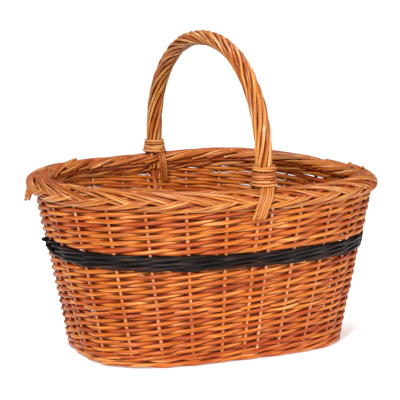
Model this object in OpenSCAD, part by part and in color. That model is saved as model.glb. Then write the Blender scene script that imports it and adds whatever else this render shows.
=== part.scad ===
// Oval willow shopping basket: slath base, randed sides with one dark waled band,
// thick plaited border and a fixed roped bow handle across the short axis.
// The origin is on the resting plane, under the middle of the basket. X is the long axis.

/* [Wall] */
// Length of the oval at the foot, over the outside of the weave
foot_length = 340; // [300:5:380]
// Width of the oval at the foot
foot_width = 222; // [190:2:250]
// Length of the oval at the top of the wall, under the border
rim_length = 426; // [400:2:460]
// Width of the oval at the top of the wall
rim_width = 354; // [320:2:380]
// Height of the wall up to the underside of the border
wall_height = 196; // [170:2:230]
// Thickness of the woven wall, from bulge to bulge
wall_thickness = 12; // [10:1:14]
// How square the foot oval is, where 2 is an ellipse
foot_squareness = 3.2; // [2.2:0.1:3.6]
// How square the rim oval is, where 2 is an ellipse
rim_squareness = 2.2; // [2:0.1:2.6]

/* [Bands] */
// Height of the upsett, the coarse wale that the basket stands on
upsett_height = 15; // [12:1:20]
// Where the first set of siding rods gives way to the second
second_set_start = 69; // [50:1:90]
// Where the dark waled band starts
band_start = 123; // [110:1:130]
// Where the dark waled band ends
band_end = 143; // [135:1:155]

/* [Border] */
// Width of the plaited border
border_width = 32; // [26:1:36]
// Height of the plaited border
border_height = 25; // [20:1:30]
// How far the border stands proud of the wall below it
border_overhang = 7; // [4:0.5:10]

/* [Stakes] */
// Number of upright stakes, the two pairs at the handle counted once each
stake_count = 26; // [22:4:30]
// Thickness of a stake
stake_d = 4.4; // [3.5:0.1:5]
// How far round the wall a stake's foot lies from its top
stake_lean = 11; // [0:1:14]
// Distance between the two stakes that line the handle's bow
liner_gap = 17; // [16:1:20]

/* [Base] */
// Number of short sticks across the base
short_stick_count = 7; // [5:2:9]
// Thickness of a short stick
short_stick_d = 8; // [7:0.5:9]
// Distance between neighbouring short sticks
short_stick_spacing = 38; // [30:1:40]
// Number of long sticks threaded through the short ones
long_stick_count = 3; // [3:1:4]
// Thickness of a long stick
long_stick_d = 5; // [4.5:0.5:5]
// Thickness of the woven base
base_thickness = 11; // [10:0.5:12]
// Height of the base's underside above the resting plane
base_lift = 2; // [1:0.5:4]

/* [Handle] */
// Height of the middle of the bow at its top
bow_height = 388; // [360:2:410]
// Height at which the straight legs turn into the arch
bow_spring_height = 256; // [252:1:270]
// Distance between the middles of the two legs
bow_span = 336; // [320:2:350]
// Thickness of the bow inside the roping
bow_d = 12; // [11:0.5:13]
// Thickness of a roping rod
roping_d = 4; // [3.5:0.1:4.2]
// Number of roping rods laid from each side
roping_count = 5; // [4:1:5]
// Steepest slant of the roping, at the top of the arch
roping_slant = 19; // [12:1:30]
// Slant of the roping at the feet
roping_foot_slant = 8; // [0:1:12]
// Depth to which the pointed ends of the bow are pushed down the wall
bow_insert = 100; // [60:5:130]

/* [Collars and tails] */
// Thickness of the split willow that binds each foot of the handle
binding_d = 3.3; // [3:0.1:3.6]
// Number of turns in the near collar
binding_turns = 7; // [5:1:8]
// Number of turns in the far collar
far_binding_turns = 5; // [4:1:8]
// How much wider in radius a collar is at its lowest turn than at its top one
binding_flare = 1.6; // [0:0.1:2]
// Number of roping ends brought down over the outside of the border
outer_tail_count = 5; // [3:1:5]
// Number of roping ends brought down the inside
inner_tail_count = 3; // [2:1:4]
// Thickness of a tail
tail_d = 3.5; // [3:0.1:4]

/* [Hidden] */
$fn = 32;

oval_steps = 72;
turn = 360;
honey = "#c8803f";
pale = "#dca263";
dark = "#2e2a2a";
red_brown = "#a5602f";
end_clearance = 0.2;
upsett_thickness = wall_thickness + 5;
wall_mid = wall_thickness / 2;
base_inner_x = half_length(upsett_height) - upsett_thickness;
base_inner_y = half_width(upsett_height) - upsett_thickness;
stick_height = base_lift + base_thickness / 2;
border_mid_height = wall_height + border_height / 2;
border_top = wall_height + border_height;
leg_y = bow_span / 2;
roping_r = (bow_d + roping_d) / 2 + 0.1;
roping_start = border_mid_height - 6;
collar_start = border_top + 4;
collar_inner_r = roping_r + roping_d / 2 + 0.2;

// ---- ovals ----

function mix(a, b, share) = a + (b - a) * share;
function bent(value, power) = sign(value) * pow(abs(value), power);

// Point at an angle on an oval of the given half sizes and squareness
function oval(half_x, half_y, squareness, angle) = [
    half_x * bent(cos(angle), 2 / squareness),
    half_y * bent(sin(angle), 2 / squareness)
];

function oval_outline(half_x, half_y, squareness) = [
    for (i = [0:oval_steps - 1]) oval(half_x, half_y, squareness, turn * i / oval_steps)
];

function half_length(z) = mix(foot_length, rim_length, z / wall_height) / 2;
function half_width(z) = mix(foot_width, rim_width, z / wall_height) / 2;
function squareness(z) = mix(foot_squareness, rim_squareness, z / wall_height);

// Point of the wall at a height, a depth in from its outside and an angle
function wall_point(z, depth, angle) = let (
    flat = oval(half_length(z) - depth, half_width(z) - depth, squareness(z), angle)
) [flat[0], flat[1], z];

// Pairs of distance round the wall's middle and angle, for spacing the stakes evenly
function girth_table(z) = [
    for (
        angle = 0, run = 0;
        angle <= turn;
        angle = angle + 1,
        run = run + norm(wall_point(z, wall_mid, angle) - wall_point(z, wall_mid, angle - 1))
    ) [run, angle]
];

foot_girth = girth_table(0);
rim_girth = girth_table(wall_height);

function angle_at(girth, share) = lookup(share * girth[turn][0], girth);

// ---- swept solids ----

function unit(v) = v / norm(v);
function tangent(path, i) = unit(path[min(i + 1, len(path) - 1)] - path[max(i - 1, 0)]);

function tube_ring(path, i, radius, across, sides) = let (
    along = tangent(path, i),
    u = unit(cross(along, across)),
    v = cross(along, u)
) [for (k = [0:sides - 1]) path[i] + radius * (cos(turn * k / sides) * u + sin(turn * k / sides) * v)];

function two_triangles(a, b, c, d) = [[a, b, c], [a, c, d]];

// Solid tube along a path, with a radius for each point and a direction never along the path
module tube(path, radii, across, sides) {
    rings = len(path);
    polyhedron(
        points = [for (i = [0:rings - 1]) each tube_ring(path, i, radii[i], across, sides)],
        faces = concat(
            [[for (k = [0:sides - 1]) k]],
            [[for (k = [0:sides - 1]) rings * sides - 1 - k]],
            [for (i = [0:rings - 2]) for (k = [0:sides - 1]) each two_triangles(
                i * sides + (k + 1) % sides, i * sides + k,
                (i + 1) * sides + k, (i + 1) * sides + (k + 1) % sides
            )]
        ),
        convexity = 10
    );
}

// Closed ring whose section at each angle is a loop of points
module ring(sections) {
    corners = len(sections[0]);
    polyhedron(
        points = [for (section = sections) each section],
        faces = [for (i = [0:oval_steps - 1]) for (k = [0:corners - 1]) each two_triangles(
            i * corners + k, i * corners + (k + 1) % corners,
            ((i + 1) % oval_steps) * corners + (k + 1) % corners, ((i + 1) % oval_steps) * corners + k
        )],
        convexity = 10
    );
}

// Straight round rod between two points
module rod(from, to, diameter) {
    run = to - from;
    translate(from)
        rotate([0, acos(run[2] / norm(run)), atan2(run[1], run[0])])
            cylinder(d = diameter, h = norm(run));
}

// Band of woven wall between two heights
module wall_band(z_low, z_high) {
    ring([
        for (i = [0:oval_steps - 1])
            let (angle = turn * i / oval_steps)
            [
                wall_point(z_low, 0, angle), wall_point(z_high, 0, angle),
                wall_point(z_high, wall_thickness, angle), wall_point(z_low, wall_thickness, angle)
            ]
    ]);
}

// ---- base ----

// Sticks across the base, split at the middle where the long sticks pass through
module base_sticks_short() {
    color(red_brown)
        for (i = [0:short_stick_count - 1]) {
            x = (i - (short_stick_count - 1) / 2) * short_stick_spacing;
            away = pow(abs(x) / base_inner_x, foot_squareness);
            reach = base_inner_y * pow(1 - away, 1 / foot_squareness) - 3;
            difference() {
                rod([x, -reach, stick_height], [x, reach, stick_height], short_stick_d);
                translate([x, 0, stick_height])
                    cube([
                        short_stick_d + 2,
                        long_stick_count * long_stick_d + 2 * end_clearance,
                        long_stick_d + 2 * end_clearance
                    ], center = true);
            }
        }
}

// Sticks along the base, side by side through the split short sticks
module base_sticks_long() {
    color(red_brown)
        for (i = [0:long_stick_count - 1]) {
            y = (i - (long_stick_count - 1) / 2) * long_stick_d;
            rod([3 - base_inner_x, y, stick_height], [base_inner_x - 3, y, stick_height], long_stick_d);
        }
}

// Flat oval of weaving over and under the sticks
module base_weave() {
    color(honey)
        translate([0, 0, base_lift])
            linear_extrude(base_thickness)
                polygon(oval_outline(base_inner_x, base_inner_y, foot_squareness));
}

// Coarse wale round the edge of the base, with the flat rim that the basket stands on
module upsett_wale() {
    outer_x = half_length(upsett_height);
    outer_y = half_width(upsett_height);
    color(honey)
        linear_extrude(upsett_height)
            difference() {
                polygon(oval_outline(outer_x, outer_y, squareness(upsett_height)));
                polygon(oval_outline(base_inner_x, base_inner_y, foot_squareness));
            }
}

// ---- stakes ----

// One stake, from the upsett to inside the border, at a share of the way round the wall
module stake(share, shift) {
    foot_share = share + (stake_lean + shift) / foot_girth[turn][0];
    rim_share = share + shift / rim_girth[turn][0];
    foot = wall_point(upsett_height, wall_mid, angle_at(foot_girth, foot_share));
    top = wall_point(wall_height, wall_mid, angle_at(rim_girth, rim_share));
    rise = unit(top - foot);
    rod(foot - rise * (upsett_height - 5), top + rise * 8, stake_d);
}

module side_stakes() {
    color(red_brown)
        for (i = [0:stake_count - 1])
            if ((2 * i + 1) % (stake_count / 2) != 0)
                stake((i + 0.5) / stake_count, 0);
}

// Two stakes beside each end of the bow
module handle_stakes() {
    color(red_brown)
        for (share = [0.25, 0.75])
            for (side = [-1, 1])
                stake(share, side * liner_gap / 2);
}

// ---- siding ----

module siding_first_set() {
    color(honey) wall_band(upsett_height, second_set_start);
}

module siding_second_set() {
    color(honey) wall_band(second_set_start, band_start);
}

module dark_wale() {
    color(dark) wall_band(band_start, band_end);
}

module siding_top_set() {
    color(honey) wall_band(band_end, wall_height);
}

// Plaited border, an eight-sided section carried round the rim
module border() {
    middle = border_width / 2 - border_overhang;
    color(pale)
        ring([
            for (i = [0:oval_steps - 1])
                [
                    for (k = [0:7])
                        let (
                            corner = 22.5 - 45 * k,
                            depth = middle - border_width / 2 * cos(corner) / cos(22.5),
                            flat = wall_point(wall_height, depth, turn * i / oval_steps),
                            height = border_mid_height + border_height / 2 * sin(corner) / cos(22.5)
                        )
                        [flat[0], flat[1], height]
                ]
        ]);
}

// ---- handle ----

function arch_point(angle) = [
    0,
    -leg_y * cos(angle),
    bow_spring_height + (bow_height - bow_spring_height) * sin(angle)
];

// One pushed-in leg of the bow, from its point up to the top of the border
function bow_leg(side) = [
    for (z = [wall_height - bow_insert:24:wall_height - 4]) [0, side * (half_width(z) - wall_mid), z]
];

bow_straight = [for (z = [border_mid_height + 4, border_top + 10, bow_spring_height - 10]) z];
bow_path = concat(
    bow_leg(-1),
    [for (z = bow_straight) [0, -leg_y, z]],
    [for (angle = [0:5:180]) arch_point(angle)],
    [for (i = [len(bow_straight) - 1:-1:0]) [0, leg_y, bow_straight[i]]],
    [for (i = [len(bow_leg(1)) - 1:-1:0]) bow_leg(1)[i]]
);
bow_taper = len(bow_leg(1));

// Thick bow, pointed where it goes down into the wall
module handle_bow() {
    last = len(bow_path) - 1;
    color(red_brown)
        tube(
            bow_path,
            [for (i = [0:last]) bow_d / 2 * mix(0.4, 1, min(1, min(i, last - i) / bow_taper))],
            [1, 0, 0],
            8
        );
}

// Line along which the roping runs, as pairs of distance and point
roping_line = concat(
    [[0, -leg_y, roping_start]],
    [for (angle = [0:3:180]) arch_point(angle)],
    [[0, leg_y, roping_start]]
);
roping_runs = [
    for (
        i = 0, run = 0;
        i < len(roping_line);
        i = i + 1,
        run = i < len(roping_line) ? run + norm(roping_line[i] - roping_line[i - 1]) : run
    ) [run, i]
];
roping_length = roping_runs[len(roping_runs) - 1][0];

function line_point(share) = let (
    place = lookup(share * roping_length, roping_runs),
    i = min(floor(place), len(roping_line) - 2)
) mix(roping_line[i], roping_line[i + 1], place - i);

// Turn of the roping about the bow, slow at the feet and fastest over the top
function roping_turn(share) = let (
    foot_rate = tan(roping_foot_slant) / roping_r,
    top_rate = tan(roping_slant) / roping_r - foot_rate,
    degrees = 180 / PI
) degrees * roping_length * (foot_rate * share + top_rate * (share / 2 - sin(turn * share) / (4 * PI)));

function roping_path(start_angle, steps) = [
    for (i = [0:steps])
        let (
            share = i / steps,
            ahead = unit(line_point(min(1, share + 0.01)) - line_point(max(0, share - 0.01))),
            outward = cross([1, 0, 0], ahead),
            angle = start_angle + roping_turn(share)
        )
        line_point(share) + roping_r * (cos(angle) * outward + sin(angle) * [1, 0, 0])
];

// Every second rod of the roping, starting with the first or the second
module roping(first) {
    steps = 72;
    for (i = [0:roping_count - 1]) {
        path = roping_path(turn * (2 * i + first) / (2 * roping_count), steps);
        tube(path, [for (point = path) roping_d / 2], [1, 0.2, 0.1], 5);
    }
}

module roping_near() {
    color(pale) roping(0);
}

module roping_far() {
    color(honey) roping(1);
}

// ---- collars and tails ----

// Turns of split willow round a foot of the handle, wider towards the border
module collar(turns) {
    collar_height = turns * binding_d;
    translate([0, leg_y, collar_start])
        rotate_extrude() {
            polygon([
                [collar_inner_r + binding_flare, 0],
                [collar_inner_r + binding_flare + binding_d / 2, 0],
                [collar_inner_r + binding_d / 2, collar_height],
                [collar_inner_r, collar_height]
            ]);
            for (i = [0:turns - 1])
                translate([
                    collar_inner_r + binding_d / 2 + binding_flare * (1 - (i + 0.5) / turns),
                    (i + 0.5) * binding_d
                ])
                    circle(d = binding_d);
        }
}

module collar_far() {
    color(pale) collar(far_binding_turns);
}

module collar_near() {
    color(pale) rotate([0, 0, 180]) collar(binding_turns);
}

// Ends brought over the border and down its outside, slanting as they go
module outer_tails() {
    face = rim_width / 2 + border_overhang + tail_d / 2;
    for (i = [0:outer_tail_count - 1]) {
        x = (i - (outer_tail_count - 1) / 2) * (tail_d + end_clearance);
        path = [
            [x, leg_y + collar_inner_r + 2, border_top + 1.9],
            [x + 1, face - 2, border_top - 2],
            [x + 3, face + 0.6, border_top - 9],
            [x + 6, face + 0.6, border_top - 18],
            [x + 8, face - 2, border_top - 27],
            [x + 9, face - 6, border_top - 34]
        ];
        tube(path, [for (point = path) tail_d / 2], [1, 0, 0], 6);
    }
}

module outer_tails_far() {
    color(pale) outer_tails();
}

module outer_tails_near() {
    color(pale) rotate([0, 0, 180]) outer_tails();
}

// Ends brought over the border and down the inside of the wall
module inner_tails() {
    face = rim_width / 2 + border_overhang - border_width - tail_d / 2;
    for (i = [0:inner_tail_count - 1]) {
        x = (i - (inner_tail_count - 1) / 2) * (tail_d + end_clearance);
        path = [
            [x, leg_y - collar_inner_r - 2, border_top + 2.2],
            [x + 0.5, face + 2.4, border_top - 1.5],
            [x + 2, face - 0.6, border_top - 9],
            [x + 4, face - 0.6, border_top - 18],
            [x + 6, face + 2, border_top - 27],
            [x + 8, face + 5, border_top - 35]
        ];
        tube(path, [for (point = path) tail_d / 2], [1, 0, 0], 6);
    }
}

module inner_tails_far() {
    color(pale) inner_tails();
}

module inner_tails_near() {
    color(pale) rotate([0, 0, 180]) inner_tails();
}

base_sticks_short();
base_sticks_long();
base_weave();
upsett_wale();
side_stakes();
handle_stakes();
siding_first_set();
siding_second_set();
dark_wale();
siding_top_set();
border();
handle_bow();
roping_near();
roping_far();
collar_near();
collar_far();
outer_tails_near();
outer_tails_far();
inner_tails_near();
inner_tails_far();
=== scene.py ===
import math
import random
import bpy
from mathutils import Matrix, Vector


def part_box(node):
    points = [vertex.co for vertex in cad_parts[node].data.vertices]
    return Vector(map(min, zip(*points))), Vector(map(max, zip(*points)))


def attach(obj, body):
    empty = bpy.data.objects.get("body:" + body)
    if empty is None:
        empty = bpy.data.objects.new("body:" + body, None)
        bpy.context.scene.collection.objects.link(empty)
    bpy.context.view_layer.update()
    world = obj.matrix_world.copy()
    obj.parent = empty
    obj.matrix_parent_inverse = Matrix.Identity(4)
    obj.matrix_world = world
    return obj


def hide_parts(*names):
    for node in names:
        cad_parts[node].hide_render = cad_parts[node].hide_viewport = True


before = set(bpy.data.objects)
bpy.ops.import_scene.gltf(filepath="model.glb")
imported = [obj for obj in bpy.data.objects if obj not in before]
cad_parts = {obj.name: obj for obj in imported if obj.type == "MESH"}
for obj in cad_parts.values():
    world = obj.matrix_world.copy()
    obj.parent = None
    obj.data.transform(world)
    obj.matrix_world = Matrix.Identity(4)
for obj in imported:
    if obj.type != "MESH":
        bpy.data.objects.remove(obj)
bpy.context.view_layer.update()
print("frame loaded:", len(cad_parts), "nodes")


def srgb(red, green, blue):
    def linear(value):
        value /= 255
        return value / 12.92 if value <= 0.04045 else ((value + 0.055) / 1.055) ** 2.4
    return (linear(red), linear(green), linear(blue), 1.0)


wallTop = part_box("siding_top_set")[1]
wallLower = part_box("siding_first_set")
borderLow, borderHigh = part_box("border")
collarLow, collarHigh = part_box("collar_near")
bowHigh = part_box("handle_bow")[1]
baseLow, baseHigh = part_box("base_weave")

wall = {                         # sizes here and below are in metres
    "height": wallTop.z,
    "rimHalfLength": wallTop.x,
    "rimHalfWidth": wallTop.y,
    "footSquareness": 3.2,
    "rimSquareness": 2.2,
    "thickness": 0.012,
    "stakes": 26,
    "lean": 0.011,                 # how far a stake's foot lies ahead of its top
    "stakeThickness": 0.0052,
    "stakeDepth": 0.0034,
    "stakeFoot": 0.006,
    "linerGap": 0.017,
    "underBorder": 0.009,          # how far below the border's top the weaving stops
    "outlinePoints": 180,
    "stepsPerStake": 7,            # points on a rod between one stake and the next
}


def footHalf(top, lower):      # the wall's sides are straight, so two heights give the foot
    slope = (top - lower) / (wallTop.z - wallLower[1].z)
    return top - slope * wallTop.z


wall["footHalfLength"] = footHalf(wallTop.x, wallLower[1].x)
wall["footHalfWidth"] = footHalf(wallTop.y, wallLower[1].y)


def ovalPoint(halfX, halfY, squareness, angle):
    c, s = math.cos(angle), math.sin(angle)
    return (
        halfX * math.copysign(abs(c) ** (2 / squareness), c),
        halfY * math.copysign(abs(s) ** (2 / squareness), s),
    )


def guideCurve(name, lines, closed=False):     # the lines that a node tree lays its rods along
    data = bpy.data.curves.new(name, "CURVE")
    data.dimensions = "3D"
    for points in lines:
        spline = data.splines.new("POLY")
        spline.points.add(len(points) - 1)
        for point, place in zip(spline.points, points):
            point.co = (*place, 1)
        spline.use_cyclic_u = closed
    guide = bpy.data.objects.new(name, data)
    bpy.context.scene.collection.objects.link(guide)
    guides.append(guide)
    return guide


def ovalGuide(name, halfX, halfY, squareness, height):
    count = wall["outlinePoints"]
    flat = [ovalPoint(halfX, halfY, squareness, math.tau * i / count) for i in range(count)]
    return guideCurve(name, [[(x, y, height) for x, y in flat]], closed=True)


guides = []
footGuide = ovalGuide(
    "footGuide", wall["footHalfLength"], wall["footHalfWidth"], wall["footSquareness"], 0
)
rimGuide = ovalGuide(
    "rimGuide", wall["rimHalfLength"], wall["rimHalfWidth"], wall["rimSquareness"], wall["height"]
)


class TreeMaker:
    def __init__(self, name, inputs):
        self.tree = bpy.data.node_groups.new(name, "GeometryNodeTree")
        self.tree.interface.new_socket("Geometry", in_out="INPUT", socket_type="NodeSocketGeometry")
        for label, value in inputs.items():
            kind = {bool: "Bool", int: "Int", float: "Float", tuple: "Vector"}.get(type(value), value)
            socket = self.tree.interface.new_socket(
                label, in_out="INPUT", socket_type="NodeSocket" + kind
            )
            if not isinstance(value, str):
                socket.default_value = value
        self.tree.interface.new_socket("Geometry", in_out="OUTPUT", socket_type="NodeSocketGeometry")
        self.start = self.tree.nodes.new("NodeGroupInput")
        self.end = self.tree.nodes.new("NodeGroupOutput")

    def given(self, label):
        return self.start.outputs[label]

    def join(self, value, socket):
        if isinstance(value, bpy.types.NodeSocket):
            self.tree.links.new(value, socket)
        else:
            socket.default_value = value

    def put(self, kind, inputs=None, **settings):
        node = self.tree.nodes.new(kind)
        for label, value in settings.items():
            setattr(node, label, value)
        for key, value in (inputs or {}).items():
            self.join(value, node.inputs[key])
        return node

    def calc(self, operation, *values, clamp=False):
        node = self.put(
            "ShaderNodeMath", dict(enumerate(values)), operation=operation, use_clamp=clamp
        )
        return node.outputs[0]

    def total(self, *values):
        result = values[0]
        for value in values[1:]:
            result = self.calc("ADD", result, value)
        return result

    def times(self, *values):
        result = values[0]
        for value in values[1:]:
            result = self.calc("MULTIPLY", result, value)
        return result

    def vector(self, operation, *values):
        node = self.put("ShaderNodeVectorMath", dict(enumerate(values)), operation=operation)
        return node.outputs["Value" if operation == "DOT_PRODUCT" else "Vector"]

    def scaled(self, vector, factor):
        node = self.put("ShaderNodeVectorMath", {0: vector, "Scale": factor}, operation="SCALE")
        return node.outputs["Vector"]

    def combine(self, x, y, z):
        return self.put("ShaderNodeCombineXYZ", {0: x, 1: y, 2: z}).outputs[0]

    def noise(self, vector, scale, detail=1.0):    # from -1 to 1
        node = self.put(
            "ShaderNodeTexNoise", {"Vector": vector, "Scale": scale, "Detail": detail}
        )
        return self.calc("MULTIPLY_ADD", node.outputs["Fac"], 3.2, -1.6)

    def store(self, geometry, name, value, kind="FLOAT", domain="POINT"):
        node = self.put(
            "GeometryNodeStoreNamedAttribute", {"Geometry": geometry, "Name": name},
            data_type=kind, domain=domain
        )
        self.join(value, node.inputs["Value"])
        return node.outputs["Geometry"]

    def named(self, name, kind="FLOAT"):
        node = self.put("GeometryNodeInputNamedAttribute", {"Name": name}, data_type=kind)
        return node.outputs["Attribute"]

    def guide(self, label):
        node = self.put("GeometryNodeObjectInfo", {"Object": self.given(label)})
        return node.outputs["Geometry"]

    def along(self, curve, share):
        node = self.put(
            "GeometryNodeSampleCurve", {"Curves": curve, "Factor": share}, mode="FACTOR"
        )
        return node.outputs["Position"], node.outputs["Tangent"]

    def fill(self, count, steps):          # count straight lines, one for each rod
        line = self.put("GeometryNodeCurvePrimitiveLine", {"End": (1, 0, 0)})
        line = self.put(
            "GeometryNodeResampleCurve", {"Curve": line.outputs[0], "Count": steps}
        )
        points = self.put("GeometryNodePoints", {"Count": count})
        copies = self.put(
            "GeometryNodeInstanceOnPoints",
            {"Points": points.outputs[0], "Instance": line.outputs[0]}
        )
        return self.put("GeometryNodeRealizeInstances", {0: copies.outputs[0]}).outputs[0]

    def rodNumber(self):
        index = self.put("GeometryNodeInputIndex").outputs[0]
        return self.put("GeometryNodeCurveOfPoint", {0: index}).outputs["Curve Index"]

    def share(self):
        return self.put("GeometryNodeSplineParameter").outputs["Factor"]

    def place(self, geometry, position):
        node = self.put("GeometryNodeSetPosition", {"Geometry": geometry, "Position": position})
        return node.outputs[0]

    def skin(self, geometry, thickness, outward, tone):
        node = self.tree.nodes.new("GeometryNodeGroup")
        node.node_tree = rodSkin
        for label, value in {
            "Geometry": geometry, "Radius": self.times(thickness, 0.5), "Outward": outward,
            "Tone": tone, "Sides": self.given("Sides"), "Knots": self.given("Knots"),
            "Material": self.given("Material"),
        }.items():
            self.join(value, node.inputs[label])
        self.tree.links.new(node.outputs[0], self.end.inputs[0])


def makeRodSkin():
    t = TreeMaker("rodSkin", {
        "Radius": 0.002, "Outward": (0.0, 0.0, 0.0), "Tone": 0.0, "Sides": 8, "Knots": 0.00015,
        "Material": "Material",
    })
    rods = t.store(t.given("Geometry"), "tone", t.given("Tone"))
    rods = t.store(rods, "outward", t.given("Outward"), "FLOAT_VECTOR")
    rods = t.store(rods, "run", t.put("GeometryNodeSplineParameter").outputs["Length"])
    section = t.put("GeometryNodeCurvePrimitiveCircle", {"Resolution": t.given("Sides"), "Radius": 1.0})
    position = t.put("GeometryNodeInputPosition").outputs[0]
    section = t.store(section.outputs[0], "cross", position, "FLOAT_VECTOR")
    mesh = t.put("GeometryNodeCurveToMesh", {
        "Curve": rods, "Profile Curve": section, "Scale": t.given("Radius"), "Fill Caps": True,
    }).outputs[0]
    tone = t.named("tone")
    lengthwise = t.times(t.named("run"), 40.0)                 # one unit is 25 mm of rod
    shift = t.combine(t.times(tone, 61.0), t.times(tone, 37.0), t.times(tone, 83.0))
    bark = t.vector("ADD", t.named("cross", "FLOAT_VECTOR"), t.combine(0.0, 0.0, lengthwise))
    mesh = t.store(mesh, "barkCo", t.vector("ADD", bark, shift), "FLOAT_VECTOR")
    normal = t.put("GeometryNodeInputNormal").outputs[0]
    # facing is 1 where the surface looks along or against the rod's outward way and 0 where it turns
    # side-on; the finishes paint shade where it is low
    facing = t.vector("DOT_PRODUCT", normal, t.named("outward", "FLOAT_VECTOR"))
    mesh = t.store(mesh, "facing", t.calc("ABSOLUTE", facing))
    bulge = t.times(t.noise(t.named("barkCo", "FLOAT_VECTOR"), 0.9, 2.0), t.given("Knots"))
    moved = t.put("GeometryNodeSetPosition", {"Geometry": mesh, "Offset": t.scaled(normal, bulge)})
    for name in ("cross", "outward", "run"):
        moved = t.put("GeometryNodeRemoveAttribute", {0: moved.outputs[0], "Name": name})
    smooth = t.put("GeometryNodeSetShadeSmooth", {0: moved.outputs[0]})
    solid = t.put("GeometryNodeRealizeInstances", {0: smooth.outputs[0]})
    painted = t.put(
        "GeometryNodeSetMaterial", {"Geometry": solid.outputs[0], "Material": t.given("Material")}
    )
    t.tree.links.new(painted.outputs[0], t.end.inputs[0])
    return t.tree


rodSkin = makeRodSkin()
skinInputs = {"Sides": 8, "Knots": 0.00015, "Seed": 1, "Material": "Material"}


def makeWeaveTree():
    t = TreeMaker("wallWeave", {
        "Foot": "Object", "Rim": "Object", "Wall height": 0.2, "Stakes": 26.0, "Lean": 0.01,
        "Rods": 26, "Steps": 80, "From": 0.0, "Passes": 13.0, "Start": 0.5, "Start step": 1.0,
        "First height": 0.0, "Climb": 0.004, "Round": 26.0, "Round step": 0.0,
        "Period": 2.0, "Phase": 1.0, "Phase step": 0.0, "Bias": 0.0, "Gain": 1.3,
        "Swing": 0.004, "Depth": 0.006, "Rise": 0.0, "Sway": 0.0006, "Slack": 0.0005,
        "Thickness": 0.0043, "Taper": 0.2, "Unevenness": 0.12, **skinInputs,
    })
    rods = t.fill(t.given("Rods"), t.given("Steps"))
    rod, share = t.rodNumber(), t.share()
    passed = t.total(t.given("From"), t.times(share, t.given("Passes")))
    seed = t.times(t.given("Seed"), 17.3)
    wobblePlace = t.combine(t.total(t.times(rod, 7.31), seed), t.times(passed, 0.9), seed)
    stakesOn = t.total(t.given("Start"), t.times(rod, t.given("Start step")), passed)
    wayRound = t.calc("DIVIDE", stakesOn, t.given("Stakes"))
    footPlace = t.guide("Foot")
    footLength = t.put("GeometryNodeCurveLength", {0: footPlace}).outputs[0]
    footWay = t.total(wayRound, t.calc("DIVIDE", t.given("Lean"), footLength))
    footPoint, footTangent = t.along(footPlace, t.calc("FRACT", footWay))
    rimPoint, rimTangent = t.along(t.guide("Rim"), t.calc("FRACT", wayRound))
    phase = t.total(passed, t.given("Phase"), t.times(rod, t.given("Phase step")))
    phase = t.calc("DIVIDE", t.times(phase, math.tau), t.given("Period"))
    bend = t.calc("ARCSINE", t.times(t.calc("COSINE", phase), 0.96))     # straight from stake to stake
    inOut = t.times(t.given("Gain"), t.total(t.times(bend, 0.76), t.given("Bias")))
    inOut = t.put("ShaderNodeClamp", {"Value": inOut, "Min": -1.0, "Max": 1.0}).outputs[0]
    offset = t.calc("SUBTRACT", t.times(inOut, t.given("Swing")), t.given("Depth"))
    offset = t.total(offset, t.times(t.noise(wobblePlace, 1.0), t.given("Slack")))
    level = t.times(t.calc("FLOOR", t.calc("DIVIDE", rod, t.given("Round"))), t.given("Round step"))
    sway = t.times(t.noise(t.vector("ADD", wobblePlace, (31.0, 5.0, 2.0)), 1.0), t.given("Sway"))
    height = t.total(
        t.given("First height"), level, t.times(t.given("Climb"), passed),
        t.times(t.given("Rise"), t.calc("SINE", phase)), sway
    )
    up = t.calc("DIVIDE", height, t.given("Wall height"))
    between = t.vector("ADD", t.scaled(footPoint, t.calc("SUBTRACT", 1.0, up)), t.scaled(rimPoint, up))
    outward = t.vector("NORMALIZE", t.vector("CROSS_PRODUCT", rimTangent, (0.0, 0.0, 1.0)))
    rods = t.place(rods, t.vector("ADD", between, t.scaled(outward, offset)))
    slimmer = t.times(t.given("Taper"), t.calc("SUBTRACT", 0.5, share))
    roughly = t.times(
        t.noise(t.combine(t.times(rod, 3.7), seed, t.times(passed, 0.3)), 1.0), t.given("Unevenness")
    )
    thickness = t.times(t.given("Thickness"), t.total(slimmer, roughly, 1.0))
    tone = t.put("FunctionNodeRandomValue", {"ID": rod, "Seed": t.given("Seed")}).outputs[1]
    t.skin(rods, thickness, outward, tone)
    return t.tree


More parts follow.
